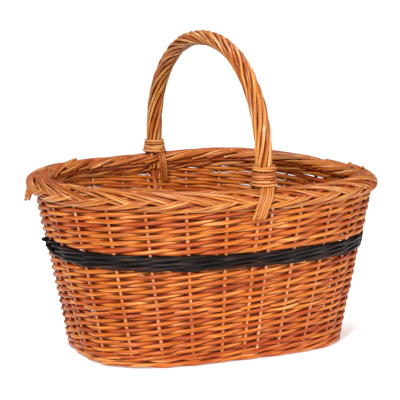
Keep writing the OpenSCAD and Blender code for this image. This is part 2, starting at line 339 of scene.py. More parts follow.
def makePlaitTree():            # strokes drawn flat, wrapped round the rim once for each stake
    t = TreeMaker("rimPlait", {
        "Rim": "Object", "Stroke": "Object", "Copies": 26, "Rods in stroke": 3, "Turn": 0.0,
        "Half width": 0.014, "Half height": 0.0106, "Thickness": 0.0035, "Unevenness": 0.14,
        "Swerve": 0.13, "Lift": 0.09, **skinInputs,
    })
    points = t.put("GeometryNodePoints", {"Count": t.given("Copies")})
    copies = t.put(
        "GeometryNodeInstanceOnPoints", {"Points": points.outputs[0], "Instance": t.guide("Stroke")}
    )
    strokes = t.put("GeometryNodeRealizeInstances", {0: copies.outputs[0]}).outputs[0]
    rod, share = t.rodNumber(), t.share()
    group = t.calc("FLOOR", t.calc("DIVIDE", rod, t.given("Rods in stroke")))
    flat = t.put("ShaderNodeSeparateXYZ", {0: t.put("GeometryNodeInputPosition").outputs[0]})
    seed = t.times(t.given("Seed"), 11.9)
    wobblePlace = t.combine(t.times(rod, 5.13), t.times(share, 2.5), seed)
    groupPlace = t.combine(t.times(group, 3.71), share, t.total(seed, 40.0))
    angle = t.total(
        flat.outputs[1], t.times(t.noise(wobblePlace, 1.0), t.given("Swerve")),
        t.times(t.noise(groupPlace, 1.0), t.given("Swerve"), 1.5)
    )
    out = t.total(
        flat.outputs[2],
        t.times(t.noise(t.vector("ADD", wobblePlace, (9.0, 4.0, 7.0)), 1.0), t.given("Lift"))
    )
    wayRound = t.calc("DIVIDE", t.total(flat.outputs[0], group, t.given("Turn")), t.given("Copies"))
    centre, tangent = t.along(t.guide("Rim"), t.calc("FRACT", wayRound))
    outward = t.vector("NORMALIZE", t.vector("CROSS_PRODUCT", tangent, (0.0, 0.0, 1.0)))
    sideways = t.times(t.calc("COSINE", angle), out, t.given("Half width"))
    upwards = t.times(t.calc("SINE", angle), out, t.given("Half height"))
    across = t.vector("ADD", t.scaled(outward, sideways), t.combine(0.0, 0.0, upwards))
    rods = t.place(strokes, t.vector("ADD", centre, across))
    roughly = t.times(t.noise(t.combine(t.times(rod, 2.3), seed, share), 1.0), t.given("Unevenness"))
    thickness = t.times(t.given("Thickness"), t.total(roughly, 1.0))
    tone = t.put("FunctionNodeRandomValue", {"ID": rod, "Seed": t.given("Seed")}).outputs[1]
    t.skin(rods, thickness, t.vector("NORMALIZE", across), tone)
    return t.tree


def makeRopingTree():           # rods laid side by side round the bow
    t = TreeMaker("bowRoping", {
        "Bow": "Object", "Rods": 5, "Steps": 150, "Every": 2.0, "First": 0.0, "Slots": 10.0,
        "Radius": 0.0081, "Foot rate": 9.0, "Top rate": 90.0, "Thickness": 0.004,
        "Top slimming": 0.1, "Unevenness": 0.14, "Slack": 0.0006, "Swerve": 0.24, **skinInputs,
    })
    rods = t.fill(t.given("Rods"), t.given("Steps"))
    rod, share = t.rodNumber(), t.share()
    slotNumber = t.total(t.times(rod, t.given("Every")), t.given("First"))
    bow = t.guide("Bow")
    length = t.put("GeometryNodeCurveLength", {0: bow}).outputs[0]
    centre, tangent = t.along(bow, share)
    wave = t.calc("DIVIDE", t.calc("SINE", t.times(share, math.tau)), -4 * math.pi)
    quick = t.times(t.given("Top rate"), t.calc("MULTIPLY_ADD", share, 0.5, wave))
    turned = t.times(length, t.total(t.times(t.given("Foot rate"), share), quick))
    seed = t.times(t.given("Seed"), 9.7)
    wobblePlace = t.combine(t.times(slotNumber, 4.31), t.times(share, 14.0), seed)
    swerve = t.times(t.noise(wobblePlace, 1.0), t.given("Swerve"))
    angle = t.total(t.times(slotNumber, t.calc("DIVIDE", math.tau, t.given("Slots"))), turned, swerve)
    slack = t.times(t.noise(t.vector("ADD", wobblePlace, (3.0, 8.0, 1.0)), 1.0), t.given("Slack"))
    high = t.calc("POWER", t.calc("SINE", t.times(share, math.pi)), 4.0)
    slimmed = t.calc("SUBTRACT", 1.0, t.times(high, t.given("Top slimming")))
    radius = t.total(t.times(t.given("Radius"), slimmed), slack)
    outward = t.vector("NORMALIZE", t.vector("CROSS_PRODUCT", (1.0, 0.0, 0.0), tangent))
    across = t.vector(
        "ADD", t.scaled(outward, t.calc("COSINE", angle)), t.combine(t.calc("SINE", angle), 0.0, 0.0)
    )
    rods = t.place(rods, t.vector("ADD", centre, t.scaled(across, radius)))
    roughly = t.times(t.noise(t.combine(slotNumber, seed, t.times(share, 9.0)), 1.0), t.given("Unevenness"))
    thickness = t.times(t.given("Thickness"), t.total(roughly, 1.0))
    tone = t.put("FunctionNodeRandomValue", {"ID": slotNumber, "Seed": t.given("Seed")}).outputs[1]
    t.skin(rods, thickness, across, tone)
    return t.tree


def makeLineTree():             # rods along drawn lines; the lines carry their own thickness
    t = TreeMaker("drawnRods", {
        "Spacing": 0.004, "Slack": 0.0002, "Centre": (0.0, 0.0, 0.0), "Upright": 0.0, **skinInputs,
    })
    lines = t.put("GeometryNodeMeshToCurve", {0: t.given("Geometry")}).outputs[0]
    lines = t.put(
        "GeometryNodeResampleCurve", {"Curve": lines, "Length": t.given("Spacing")}, mode="LENGTH"
    ).outputs[0]
    rod, share = t.rodNumber(), t.share()
    position = t.put("GeometryNodeInputPosition").outputs[0]
    seed = t.times(t.given("Seed"), 7.7)
    wobblePlace = t.combine(t.times(rod, 6.13), t.times(share, 5.0), seed)
    drift = t.combine(
        t.noise(wobblePlace, 1.0), t.noise(t.vector("ADD", wobblePlace, (5.0, 1.0, 9.0)), 1.0),
        t.noise(t.vector("ADD", wobblePlace, (2.0, 7.0, 3.0)), 1.0)
    )
    rods = t.place(lines, t.vector("ADD", position, t.scaled(drift, t.given("Slack"))))
    outward = t.vector("SUBTRACT", position, t.given("Centre"))
    keep = t.combine(1.0, 1.0, t.given("Upright"))
    outward = t.vector("NORMALIZE", t.vector("MULTIPLY", outward, keep))
    tone = t.put("FunctionNodeRandomValue", {"ID": rod, "Seed": t.given("Seed")}).outputs[1]
    t.skin(rods, t.named("thick"), outward, tone)
    return t.tree


weaveTree = makeWeaveTree()
plaitTree = makePlaitTree()
ropingTree = makeRopingTree()
lineTree = makeLineTree()
print("node trees made")


def grow(name, tree, values, source=None):   # runs a tree once and keeps the plain mesh it gives
    maker = bpy.data.objects.new(name + "Maker", source or bpy.data.meshes.new(name + "Maker"))
    bpy.context.scene.collection.objects.link(maker)
    modifier = maker.modifiers.new("rods", "NODES")
    modifier.node_group = tree
    sockets = {
        item.name: item.identifier for item in tree.interface.items_tree if item.in_out == "INPUT"
    }
    for label, value in values.items():
        modifier[sockets[label]] = value
    bpy.context.view_layer.update()
    grown = maker.evaluated_get(bpy.context.evaluated_depsgraph_get())
    mesh = bpy.data.meshes.new_from_object(
        grown, preserve_all_data_layers=True, depsgraph=bpy.context.evaluated_depsgraph_get()
    )
    bpy.data.objects.remove(maker)
    return mesh


def joined(name, meshes):        # several grown meshes as one piece at the origin
    parts = []
    for mesh in meshes:
        part = bpy.data.objects.new(name, mesh)
        bpy.context.scene.collection.objects.link(part)
        parts.append(part)
    if len(parts) > 1:
        with bpy.context.temp_override(
            active_object=parts[0], object=parts[0], selected_editable_objects=parts
        ):
            bpy.ops.object.join()
    piece = parts[0]
    piece.name = name
    piece.data.name = name
    return piece


def keep(piece, slotName, *nodes):
    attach(piece, "root")
    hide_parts(*nodes)
    triangles = sum(len(face.vertices) - 2 for face in piece.data.polygons)
    print(f"{piece.name}: {triangles} triangles")
    return piece


def finishNodes(name):
    material = bpy.data.materials.new(name)
    material.use_nodes = True
    nodes = material.node_tree.nodes
    nodes.clear()
    output = nodes.new("ShaderNodeOutputMaterial")
    shader = nodes.new("ShaderNodeBsdfPrincipled")
    material.node_tree.links.new(shader.outputs[0], output.inputs["Surface"])
    return material, shader


def willowFinish(name, look):
    material, shader = finishNodes(name)
    tree = material.node_tree

    def put(kind, inputs=None, **settings):
        node = tree.nodes.new(kind)
        for label, value in settings.items():
            setattr(node, label, value)
        for key, value in (inputs or {}).items():
            if isinstance(value, bpy.types.NodeSocket):
                tree.links.new(value, node.inputs[key])
            else:
                node.inputs[key].default_value = value
        return node

    def attribute(label):
        return put("ShaderNodeAttribute", attribute_name=label, attribute_type="GEOMETRY")

    def noise(vector, scale, detail, roughness=0.55):
        return put("ShaderNodeTexNoise", {
            "Vector": vector, "Scale": scale, "Detail": detail, "Roughness": roughness,
        }).outputs["Fac"]

    def ramp(value, *stops):
        node = put("ShaderNodeValToRGB", {"Fac": value})
        while len(node.color_ramp.elements) < len(stops):
            node.color_ramp.elements.new(0.5)
        for element, (at, colour) in zip(node.color_ramp.elements, stops):
            element.position = at
            element.color = colour
        return node.outputs["Color"]

    def blend(kind, factor, first, second):
        node = put("ShaderNodeMix", data_type="RGBA", blend_type=kind)
        for socket, value in zip((node.inputs[0], node.inputs[6], node.inputs[7]), (factor, first, second)):
            if isinstance(value, bpy.types.NodeSocket):
                tree.links.new(value, socket)
            else:
                socket.default_value = value
        return node.outputs[2]

    def fade(value, low, high):
        return put("ShaderNodeMapRange", {
            "Value": value, "From Min": low, "From Max": high,
        }, interpolation_type="SMOOTHSTEP").outputs["Result"]

    bark = attribute("barkCo").outputs["Vector"]
    stretched = put("ShaderNodeMapping", {"Vector": bark, "Scale": (1.0, 1.0, 0.22)}).outputs[0]
    tone = attribute("tone").outputs["Fac"]
    facing = attribute("facing").outputs["Fac"]
    streaks = noise(stretched, look["streakScale"], 4.0)
    patches = noise(bark, look["patchScale"], 2.0)
    specks = noise(bark, 7.0, 2.0, 0.7)
    ageing = noise(bark, look["ageScale"], 2.0)
    tones = ramp(tone, *[(i / (len(look["tones"]) - 1), c) for i, c in enumerate(look["tones"])])
    body = blend("MIX", fade(streaks, 0.38, 0.62), blend("MULTIPLY", 1.0, tones, look["streak"]), tones)
    body = blend("MIX", fade(ageing, 0.5, 0.72), body, blend("MULTIPLY", 1.0, body, look["age"]))
    body = blend("MIX", fade(patches, 0.55, 0.75), body, look["patch"])
    body = blend("MIX", fade(specks, 0.72, 0.8), body, look["speck"])
    # painted shade: where a rod's surface turns side-on to its outward way (its top and bottom edges, where
    # rods press together) the colour is darkened and reddened with the look's shade colour
    shade = fade(facing, look["shadeFrom"], look["shadeTo"])
    body = blend("MIX", shade, blend("MULTIPLY", 1.0, body, look["shade"]), body)
    tree.links.new(body, shader.inputs["Base Color"])
    rough = put("ShaderNodeMapRange", {
        "Value": streaks, "To Min": look["roughness"][0], "To Max": look["roughness"][1],
    }).outputs["Result"]
    rough = put("ShaderNodeMapRange", {
        "Value": shade, "To Min": look["creaseRoughness"], "To Max": rough,
    }).outputs["Result"]
    tree.links.new(rough, shader.inputs["Roughness"])
    bump = put("ShaderNodeBump", {
        "Height": streaks, "Strength": look["bump"], "Distance": 0.0004,
    }).outputs["Normal"]
    bump = put("ShaderNodeBump", {
        "Height": specks, "Strength": look["bump"] * 0.6, "Distance": 0.0003, "Normal": bump,
    }).outputs["Normal"]
    tree.links.new(bump, shader.inputs["Normal"])
    shader.inputs["Specular IOR Level"].default_value = look["specular"]
    shader.inputs["Coat Weight"].default_value = look["coat"]
    shader.inputs["Coat Roughness"].default_value = 0.2
    return material


buffLook = {
    "tones": [srgb(202, 100, 16), srgb(224, 136, 38), srgb(196, 92, 14), srgb(228, 148, 54),
              srgb(212, 114, 24), srgb(184, 80, 10), srgb(220, 126, 32)],
    "streak": (0.6, 0.33, 0.16, 1.0),
    "patch": srgb(240, 164, 88),
    "speck": srgb(86, 26, 2),
    "age": (0.64, 0.4, 0.22, 1.0),
    # shade is the colour of the painted shade on rod edges; shadeFrom and shadeTo set the facing range over
    # which it fades out
    "shade": (0.4, 0.07, 0.005, 1.0),
    "shadeFrom": 0.12, "shadeTo": 0.92,
    "streakScale": 2.6, "patchScale": 0.5, "ageScale": 1.1,
    "roughness": (0.44, 0.28), "creaseRoughness": 0.95, "bump": 0.6, "specular": 0.3, "coat": 0.05,
}
paleLook = dict(
    buffLook,
    tones=[srgb(212, 128, 40), srgb(234, 164, 78), srgb(198, 106, 26), srgb(242, 182, 102),
           srgb(186, 90, 18), srgb(226, 148, 60)],
    patch=srgb(250, 202, 138),
    # softer painted shade on the edges of the border, tail, roping and collar rods
    shadeFrom=-0.12, shadeTo=0.8,
)
ropingLook = dict(
    paleLook,
    tones=[srgb(222, 146, 60), srgb(240, 176, 92), srgb(208, 124, 40), srgb(247, 194, 120),
           srgb(196, 106, 30), srgb(234, 162, 78)],
    patch=srgb(252, 212, 154),
)
stakeLook = dict(
    buffLook,
    tones=[srgb(236, 156, 88), srgb(246, 178, 112), srgb(226, 140, 70), srgb(250, 190, 130)],
    patch=srgb(252, 202, 150),
)
darkLook = dict(
    buffLook,
    tones=[srgb(9, 5, 4), srgb(26, 16, 13), srgb(5, 3, 4), srgb(56, 36, 26), srgb(12, 9, 9),
           srgb(70, 28, 12), srgb(16, 13, 15)],
    streak=(0.3, 0.24, 0.22, 1.0),
    # the lighter brown patches and pale brown specks are partly the band's own brown bits and partly
    # painted highlights and glints, with the specular kept low
    patch=srgb(74, 56, 46),
    speck=srgb(140, 100, 70),
    # painted shade on the dark band's rod edges, nearly black
    shade=(0.1, 0.05, 0.04, 1.0),
    age=(0.45, 0.4, 0.4, 1.0),
    shadeFrom=0.2, shadeTo=0.95,
    roughness=(0.5, 0.24), specular=0.16, coat=0.02,
)
insideLook = dict(
    buffLook,
    tones=[srgb(176, 84, 24), srgb(196, 102, 32), srgb(160, 72, 18), srgb(206, 114, 42)],
    patch=srgb(214, 130, 56),
)

buffWillow = willowFinish("buffWillow", buffLook)
paleWillow = willowFinish("paleWillow", paleLook)
ropingWillow = willowFinish("ropingWillow", ropingLook)
stakeWillow = willowFinish("stakeWillow", stakeLook)
darkWillow = willowFinish("darkWillow", darkLook)
insideWillow = willowFinish("insideWillow", insideLook)
print("finishes made")


stakesRound = float(wall["stakes"])
wallInputs = {
    "Foot": footGuide, "Rim": rimGuide, "Wall height": wall["height"], "Stakes": stakesRound,
    "Lean": wall["lean"],
}


def randedSet(name, node, look, upTo=None):
    low, high = (corner.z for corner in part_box(node))
    climb = look["Climb"]
    passes = ((upTo or high) - low) / climb
    values = dict(wallInputs, **look)
    values.update({
        "First height": low + climb / 2 - climb * look["From"], "Passes": passes,
        "Rods": wall["stakes"], "Steps": int(passes * wall["stepsPerStake"]) + 1,
        "Material": buffWillow,
    })
    return keep(joined(name, [grow(name, weaveTree, values)]), "siding", node)


firstSet = {
    "Climb": 0.0045, "From": 0.0, "Thickness": 0.0054, "Taper": 0.12, "Swing": 0.0032,
    "Sway": 0.001, "Unevenness": 0.17, "Depth": 0.0046, "Seed": 3,
}
secondSet = {
    "Climb": 0.0045, "From": 0.5, "Thickness": 0.0054, "Taper": 0.1, "Swing": 0.0031,
    "Sway": 0.001, "Unevenness": 0.17, "Depth": 0.0044, "Seed": 8,
}
topSet = {
    "Climb": 0.0044, "From": 0.0, "Thickness": 0.0056, "Taper": 0.08, "Swing": 0.0032,
    "Sway": 0.0012, "Unevenness": 0.18, "Depth": 0.0044, "Seed": 5,
}
randedSet("sidingFirstSet", "siding_first_set", firstSet)
randedSet("sidingSecondSet", "siding_second_set", secondSet)
randedSet("sidingTopSet", "siding_top_set", topSet, borderHigh.z - wall["underBorder"])

waling = {                       # in front of two stakes and behind one
    "Passes": 27.2, "Period": 3.0, "Climb": 0.0, "Start step": 0.37, "Phase step": 1.37,
    "Bias": 0.35, "Gain": 1.2, "Slack": 0.0005, "Taper": 0.12, "Unevenness": 0.16,
}
darkWale = {
    "rodsInRound": 3, "rounds": 3, "inset": 0.003, "lift": 0.0,
    "rod": {"Thickness": 0.0046, "Rise": 0.0018, "Swing": 0.0040, "Sway": 0.0011, "Depth": 0.0042,
            "Start": 12.6, "Phase": 0.6, "Seed": 4},
    "ends": [(0.470, 0.86, 0.004), (0.482, 0.66, 0.003), (0.492, 0.42, 0.005)],
    "endDepth": 0.003,
    "endLead": 0.008,              # how far round the wall a cut end reaches
    "endReach": 0.0065,            # how far it stands out
}
upsett = {
    "rodsInRound": 3, "rounds": 2, "inset": 0.0, "lift": 0.0018,
    "rod": {"Thickness": 0.0052, "Rise": 0.0022, "Swing": 0.0046, "Sway": 0.0014, "Depth": 0.0058,
            "Start": 2.4, "Phase": 0.4, "Seed": 6},
}


def waledBand(name, node, look, finish, slotName, ends=()):
    low, high = (corner.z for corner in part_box(node))
    low += look["inset"]
    levelStep = (high - low) / look["rounds"]
    values = dict(wallInputs, **waling, **look["rod"])
    values.update({
        "Rods": look["rodsInRound"] * look["rounds"], "Round": float(look["rodsInRound"]),
        "Steps": int(waling["Passes"] * wall["stepsPerStake"]), "Round step": levelStep,
        "First height": low + levelStep / 2 + look["lift"], "Material": finish,
    })
    return keep(joined(name, [grow(name, weaveTree, values), *ends]), slotName, node)


waledBand("upsettWale", "upsett_wale", upsett, buffWillow, "siding")


def linesMesh(name, lines):      # each line is (points, thickness)
    mesh = bpy.data.meshes.new(name)
    points, edges, thick = [], [], []
    for path, width in lines:
        first = len(points)
        points += [tuple(p) for p in path]
        edges += [(first + i, first + i + 1) for i in range(len(path) - 1)]
        widths = width if isinstance(width, list) else [width] * len(path)
        thick += widths
    mesh.from_pydata(points, edges, [])
    mesh.attributes.new("thick", "FLOAT", "POINT").data.foreach_set("value", thick)
    return mesh


def drawnRods(name, lines, finish, **extra):
    return grow(name, lineTree, {"Material": finish, **extra}, linesMesh(name + "Lines", lines))


def smoothPath(points, steps=6):     # a Catmull-Rom line through given points
    points = [Vector(p) for p in points]
    ends = [2 * points[0] - points[1], *points, 2 * points[-1] - points[-2]]
    path = []
    for i in range(1, len(ends) - 2):
        a, b, c, d = ends[i - 1:i + 3]
        for k in range(steps):
            t = k / steps
            path.append(0.5 * (
                2 * b + (c - a) * t + (2 * a - 5 * b + 4 * c - d) * t * t
                + (3 * b - a - 3 * c + d) * t ** 3
            ))
    return path + [points[-1]]


class Outline:                   # even spacing round an oval
    def __init__(self, halfX, halfY, squareness):
        count = 720
        self.points = [
            Vector(ovalPoint(halfX, halfY, squareness, math.tau * i / count)) for i in range(count + 1)
        ]
        self.runs = [0.0]
        for a, b in zip(self.points, self.points[1:]):
            self.runs.append(self.runs[-1] + (b - a).length)
        self.length = self.runs[-1]

    def at(self, share):
        run = (share % 1) * self.length
        low, high = 0, len(self.runs) - 1
        while high - low > 1:
            middle = (low + high) // 2
            low, high = (middle, high) if self.runs[middle] <= run else (low, middle)
        part = (run - self.runs[low]) / max(self.runs[high] - self.runs[low], 1e-9)
        point = self.points[low].lerp(self.points[high], part)
        ahead = (self.points[high] - self.points[low]).normalized()
        return point, Vector((ahead.y, -ahead.x))


footOutline = Outline(wall["footHalfLength"], wall["footHalfWidth"], wall["footSquareness"])
rimOutline = Outline(wall["rimHalfLength"], wall["rimHalfWidth"], wall["rimSquareness"])


def wallPlace(share, height, depth, shift=0.0):
    foot = footOutline.at(share + (wall["lean"] + shift) / footOutline.length)[0]
    rim, rimOut = rimOutline.at(share + shift / rimOutline.length)
    up = height / wall["height"]
    flat = foot.lerp(rim, up) - rimOut * depth
    return Vector((flat.x, flat.y, height))


def stakeLine(share, shift=0.0):
    heights = [wall["stakeFoot"] + i * (wall["height"] + 0.002) / 12 for i in range(13)]
    return [wallPlace(share, z, wall["stakeDepth"], shift) for z in heights]


handleStakeNumbers = (6, 19)     # the liners beside the bow stand here instead
sideShares = [
    (i + 0.5) / stakesRound for i in range(wall["stakes"]) if i not in handleStakeNumbers
]
liners = [(share, side * wall["linerGap"] / 2) for share in (0.25, 0.75) for side in (-1, 1)]
keep(joined("sideStakes", [drawnRods(
    "sideStakes", [(stakeLine(s), wall["stakeThickness"]) for s in sideShares], stakeWillow,
    Spacing=0.012, Seed=2
)]), "stakes", "side_stakes")
keep(joined("handleStakes", [drawnRods(
    "handleStakes", [(stakeLine(s, shift), wall["stakeThickness"]) for s, shift in liners],
    stakeWillow, Spacing=0.012, Seed=5
)]), "stakes", "handle_stakes")


def bandEndLines():              # each by its place round the wall, its level in the band, its climb
    low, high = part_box("dark_wale")
    lines = []
    for share, level, climb in darkWale["ends"]:
        height = low.z + (high.z - low.z) * level
        start = wallPlace(share, height, darkWale["endDepth"])
        end = wallPlace(share + darkWale["endLead"], height + climb, -darkWale["endReach"])
        lines.append(([start, end], darkWale["rod"]["Thickness"]))
    return lines


bandEnds = drawnRods("bandEnds", bandEndLines(), darkWillow, Spacing=0.003, Seed=2)
waledBand("darkWale", "dark_wale", darkWale, darkWillow, "dark_band", [bandEnds])
print("wall woven")


border = {
    "thickness": 0.0035,
    "halfWidth": 0.0138,            # to the middle of a rod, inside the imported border's box
    "halfHeight": 0.0104,
    "leftRise": 0.0015,
    "rightDip": 0.007,              # the rim sags at the right end and swells behind it
    "farRise": 0.0058,
    "leftReach": 0.0045,
    "sagPower": 10,
    "swellAt": 0.5,
    "swellWidth": 0.45,
    "inset": 0.016,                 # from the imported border's edge to the middle of the plait
    "coreRods": 7,
    "coreReach": 0.42,
    "coreThickness": 0.0052,
    "cutDepth": 0.8,
    "cutSlimming": 0.94,
    "upper": {                      # stakes along, angle round the section, share of its size
        "rods": 3, "spread": 0.25, "turn": 0.0, "seed": 2,
        "path": [(-0.35, 128, 0.66), (0.0, 112, 0.9), (0.5, 94, 1.02), (1.1, 68, 1.08),
                 (1.65, 40, 1.1), (2.1, 14, 1.1), (2.45, -8, 1.02), (2.7, -28, 0.8), (2.95, -48, 0.56)],
    },
    "lower": {
        "rods": 3, "spread": 0.21, "turn": 0.62, "seed": 7,
        "path": [(-0.5, -112, 0.5), (-0.15, -100, 0.82), (0.3, -84, 1.02), (0.8, -62, 1.08),
                 (1.3, -38, 1.1), (1.75, -14, 1.14), (2.05, 6, 1.08), (2.3, 24, 0.84),
                 (2.55, 42, 0.58)],
    },
    "inner": {
        "rods": 3, "spread": 0.24, "turn": 0.4, "seed": 9,
        "path": [(-0.4, 52, 0.62), (-0.1, 70, 0.9), (0.3, 88, 1.04), (0.75, 108, 1.04),
                 (1.2, 130, 0.98), (1.6, 150, 0.9), (1.95, 168, 0.72)],
    },
}
borderMiddle = (borderLow.z + borderHigh.z) / 2
borderHalfX = borderHigh.x - border["inset"]
borderHalfY = borderHigh.y - border["inset"]


def borderLevel(x, y):
    share = x / borderHalfX
    if share < 0:
        ends = border["leftRise"] * share ** 2
    else:
        ends = -border["rightDip"] * share ** border["sagPower"]
    swell = border["farRise"] * math.exp(-((share - border["swellAt"]) / border["swellWidth"]) ** 2)
    return borderMiddle + ends + swell * max(0, y / borderHalfY)


def onRim(x, y):                 # where a point of the plain oval lies on the uneven rim
    reach = border["leftReach"] * max(0, -x / borderHalfX) ** 3
    return Vector((x - reach, y, borderLevel(x, y)))


rimPoints = [
    ovalPoint(borderHalfX, borderHalfY, wall["rimSquareness"], math.tau * i / wall["outlinePoints"])
    for i in range(wall["outlinePoints"])
]
borderGuide = guideCurve("borderGuide", [[onRim(x, y) for x, y in rimPoints]], closed=True)


def strokeGuide(name, look):     # the rods of one stroke, each a little behind the last
    return guideCurve(name, [
        smoothPath([
            (x - rod * look["spread"], math.radians(angle), out) for x, angle, out in look["path"]
        ], 4)
        for rod in range(look["rods"])
    ])


def plaitedFamily(name):
    look = border[name]
    return grow(name + "Strokes", plaitTree, {
        "Rim": borderGuide, "Stroke": strokeGuide(name + "Stroke", look), "Copies": wall["stakes"],
        "Rods in stroke": look["rods"], "Turn": look["turn"], "Half width": border["halfWidth"],
        "Half height": border["halfHeight"], "Thickness": border["thickness"],
        "Seed": look["seed"], "Material": paleWillow,
    })


def coreLines():
    lines = []
    steps = 96
    for rod in range(border["coreRods"]):
        angle = math.tau * rod / border["coreRods"]
        out = border["coreReach"] * border["halfWidth"] * math.cos(angle)
        up = Vector((0, 0, border["coreReach"] * border["halfHeight"] * math.sin(angle)))
        spots = [
            ovalPoint(borderHalfX + out, borderHalfY + out, wall["rimSquareness"], math.tau * i / steps)
            for i in range(steps + 1)
        ]
        lines.append(([onRim(*spot) + up for spot in spots], border["coreThickness"]))
    return lines


# place round the rim, angle round the section, how far it goes along, outwards and up, in metres
cutEnds = [
    (0.486, -4, -0.013, 0.007, -0.012), (0.489, -10, -0.014, 0.008, -0.015),
    (0.492, -16, -0.009, 0.006, -0.013), (0.484, 6, -0.015, 0.005, -0.009),
    (0.374, 92, -0.026, 0.000, 0.006), (0.366, 104, -0.022, -0.002, 0.004),
    (0.985, 84, 0.012, 0.000, 0.010), (0.980, 66, -0.010, 0.003, 0.009),
    (0.976, 50, 0.012, 0.004, 0.006), (0.971, 76, -0.012, 0.001, 0.010),
    (0.966, 40, 0.012, 0.005, 0.006), (0.990, 100, -0.014, -0.002, 0.008),
    (0.956, -20, 0.014, 0.006, -0.003), (0.948, -34, 0.012, 0.005, -0.007),
]


def cutEndLines():
    rim = Outline(borderHalfX, borderHalfY, wall["rimSquareness"])
    lines = []
    for share, angle, onward, outwards, up in cutEnds:
        spot, out = rim.at(share)
        ahead = Vector((-out.y, out.x))
        turned = math.radians(angle)
        flat = spot + out * border["cutDepth"] * border["halfWidth"] * math.cos(turned)
        start = onRim(*flat) + Vector((0, 0, border["cutDepth"] * border["halfHeight"] * math.sin(turned)))
        reach = Vector((*(ahead * onward + out * outwards), up))
        sag = Vector((*(out * 0.002), 0.0015))
        lines.append((smoothPath([start - reach * 0.4, start + reach * 0.3 + sag, start + reach]),
                      border["thickness"] * border["cutSlimming"]))
    return lines


borderMeshes = [plaitedFamily(name) for name in ("upper", "lower", "inner")]
borderMeshes.append(drawnRods("cutEnds", cutEndLines(), paleWillow, Spacing=0.004, Seed=9))
borderMeshes.append(drawnRods("core", coreLines(), insideWillow, Spacing=0.015, Seed=3))
keep(joined("plaitedBorder", borderMeshes), "border", "border")
print("border plaited")


handle = {
    "springHeight": 0.256,
    "shoulder": 0.94,               # below 1 the arch is a little squarer
    "legY": -(collarLow.y + collarHigh.y) / 2,
    "height": bowHigh.z - 0.007,
    "bowThickness": 0.012,
    "roping": 0.0043,
    "radius": 0.0083,
    "slant": 15,
    "footSlant": 9,
    "topSlimming": 0.12,
    "rods": 5,                      # from each side
    "archSteps": 60,
    "insert": 0.1,
    "insertStep": 0.016,
    "kneeHeight": 0.225,            # where a leg leaves the wall and stands upright
    "tipPoints": 7,
    "ropingDrop": 0.006,
}


def archPoint(angle):
    return Vector((
        0, -handle["legY"] * math.copysign(abs(math.cos(angle)) ** handle["shoulder"], math.cos(angle)),
        handle["springHeight"] + (handle["height"] - handle["springHeight"]) * math.sin(angle),
    ))


arch = [archPoint(math.pi * i / handle["archSteps"]) for i in range(handle["archSteps"] + 1)]
ropingStart = borderMiddle - handle["ropingDrop"]
bowGuide = guideCurve("bowGuide", [[
    Vector((0, -handle["legY"], ropingStart)), *arch, Vector((0, handle["legY"], ropingStart))
]])


def bowLeg(side):
    return [
        Vector((0, side * (wallPlace(0.25, z, wall["thickness"] / 2).y), z))
        for z in [wall["height"] - handle["insert"] + handle["insertStep"] * i for i in range(7)]
    ]


bowLine = bowLeg(-1) + [Vector((0, -handle["legY"], handle["kneeHeight"]))] + arch
bowLine += [Vector((0, handle["legY"], handle["kneeHeight"]))] + bowLeg(1)[::-1]
bowWidths = [
    handle["bowThickness"] * (0.4 + 0.6 * min(1, min(i, len(bowLine) - 1 - i) / handle["tipPoints"]))
    for i in range(len(bowLine))
]
keep(joined("handleBow", [drawnRods(
    "bow", [(bowLine, bowWidths)], insideWillow, Spacing=0.008, Seed=8, Sides=12
)]), "roping", "handle_bow")

footRate = math.tan(math.radians(handle["footSlant"])) / handle["radius"]
topRate = math.tan(math.radians(handle["slant"])) / handle["radius"] - footRate
for first, name, node in ((0.0, "ropingNear", "roping_near"), (1.0, "ropingFar", "roping_far")):
    mesh = grow(name, ropingTree, {
        "Bow": bowGuide, "Rods": handle["rods"], "Slots": 2.0 * handle["rods"], "First": first,
        "Radius": handle["radius"], "Foot rate": footRate, "Top rate": topRate,
        "Thickness": handle["roping"], "Top slimming": handle["topSlimming"],
        "Seed": 3 + int(first), "Sides": 10, "Material": ropingWillow,
    })
    keep(joined(name, [mesh]), "roping", node)
print("handle roped")


collar = {
    "turns": {"collar_near": 7, "collar_far": 5},
    "thickness": 0.0034,
    "topRadius": (collarHigh.x - collarLow.x) / 2 - 0.0029,
    "flare": 0.0024,
    "unevenness": 0.0005,
    "tilt": 0.0007,
    "overlap": 0.5,                 # how far a turn runs on past its start, in radians
    "steps": 39,
    "climb": 0.0006,
    "edge": 0.0016,
    "looseEnd": 0.012,
    "seed": 12,
}


def collarLines(side, node):
    chance = random.Random(collar["seed"] + side)
    low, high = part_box(node)
    bottom, top = low.z + collar["edge"], high.z - collar["edge"]
    count = collar["turns"][node]
    lines = []
    for turn in range(count):
        share = turn / (count - 1)
        radius = collar["topRadius"] + collar["flare"] * (1 - share) ** 2
        radius += chance.uniform(-1, 1) * collar["unevenness"]
        lean, turned = chance.uniform(-1, 1) * collar["tilt"], chance.uniform(0, math.tau)
        height = bottom + (top - bottom) * share
        line = []
        for i in range(collar["steps"] + 1):
            angle = turned + (math.tau + collar["overlap"]) * i / collar["steps"]
            climb = collar["climb"] * (i / collar["steps"] - 0.5)
            line.append(Vector((
                radius * math.cos(angle) * side, side * (handle["legY"] + radius * math.sin(angle)),
                height + lean * math.cos(angle - turned) + climb
            )))
        lines.append((line, collar["thickness"] * chance.uniform(0.86, 1.1)))
    for level, way in ((top, 1), (bottom, -1)):                # the split's two cut ends
        radius, reach = collar["topRadius"] + 0.0004, collar["looseEnd"]
        lines.append(([
            Vector((0.0, side * (handle["legY"] + radius), level)),
            Vector((way * 0.006, side * (handle["legY"] + radius * 0.9), level + 0.0003)),
            Vector((way * reach, side * (handle["legY"] + radius * 0.6), level - 0.0012 * way)),
        ], collar["thickness"] * 0.8))
    return lines


